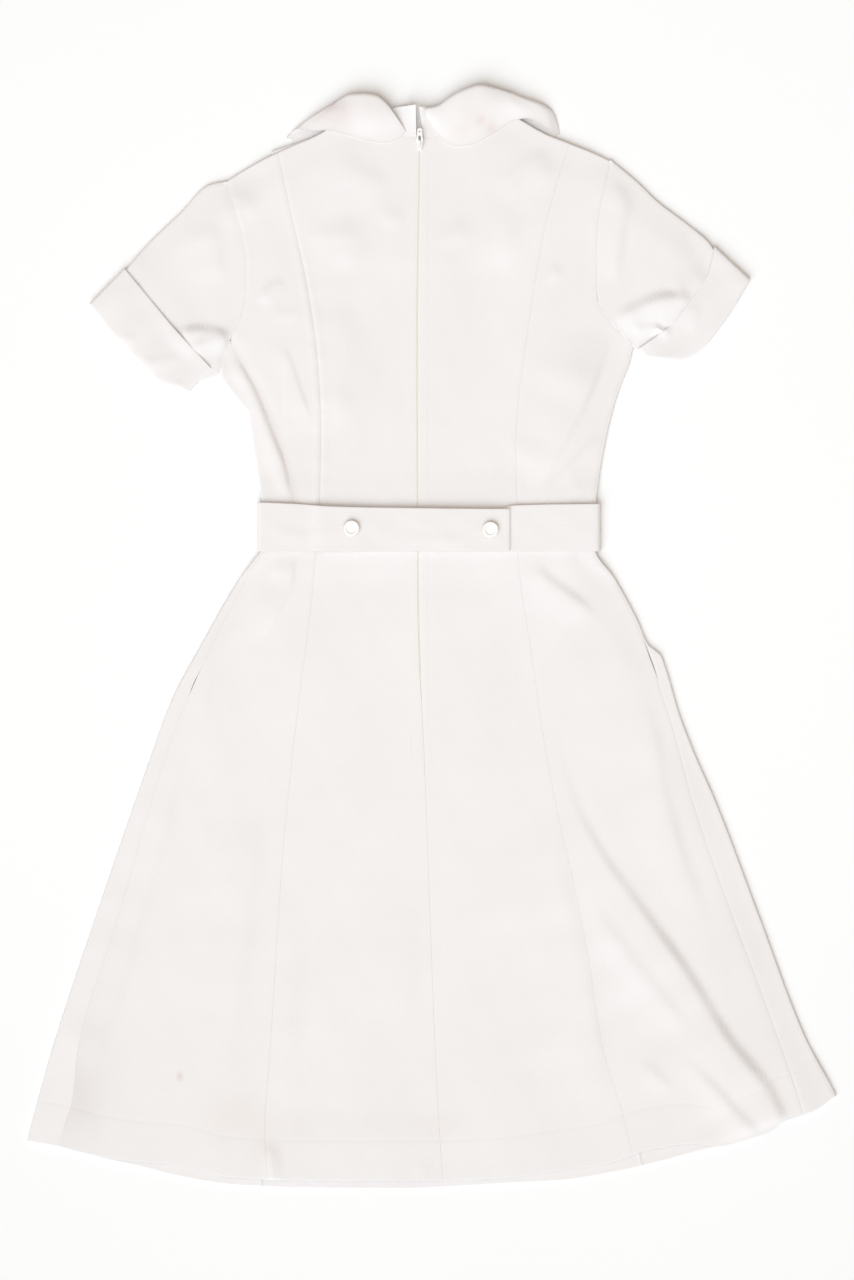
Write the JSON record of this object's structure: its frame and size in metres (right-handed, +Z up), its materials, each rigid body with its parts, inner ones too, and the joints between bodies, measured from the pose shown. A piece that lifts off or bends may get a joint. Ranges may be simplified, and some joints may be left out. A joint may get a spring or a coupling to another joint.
{
  "type": "waitress dress",
  "caption": "White short-sleeved waitress dress laid flat on its front: back zip, rolled collar, turned cuffs, buttoned belt and flared skirt.",
  "frame": {"origin": "on the surface the dress lies on, under the middle of its outline", "axes": "+Y towards the neck, +X towards the wearer's right side, +Z up, out of the dress's back"},
  "size_m": [0.7822, 1.0656, 0.015],
  "materials": {
    "double_knit": "warm white polyester double knit, matt, faintly marked",
    "pocket_cloth": "the same knit seen from its wrong side",
    "zip_tape": "woven off-white tape",
    "zip_chain": "cream coil, a little yellowed",
    "zip_enamel": "white enamel, worn at the edges",
    "button": "white, glossy"
  },
  "bodies": {
    "dress": {"front_centre": "double_knit", "front_side_left": "double_knit", "front_side_right": "double_knit", "back_centre_left": "double_knit", "back_centre_right": "double_knit", "back_side_left": "double_knit", "back_side_right": "double_knit", "sleeve_left": "double_knit", "sleeve_right": "double_knit", "cuff_left": "double_knit", "cuff_right": "double_knit", "collar_left": "double_knit", "collar_right": "double_knit", "collar_stand_left": "double_knit", "collar_stand_right": "double_knit", "belt": "double_knit", "pocket_left": "pocket_cloth", "pocket_right": "pocket_cloth", "zip_tape_left": "zip_tape", "zip_tape_right": "zip_tape", "zip_chain": "zip_chain", "zip_slider": "zip_enamel", "belt_button_left": "button", "belt_button_right": "button"},
    "pull_tab": {"zip_pull": "zip_enamel"}
  },
  "joints": [
    {"name": "pull_swing", "type": "hinge", "parent": "dress", "child": "pull_tab", "pos_m": [-0.01144, 0.4776, 0.01045], "axis": [1, 0, 0], "range_deg": [0, 170]}
  ]
}
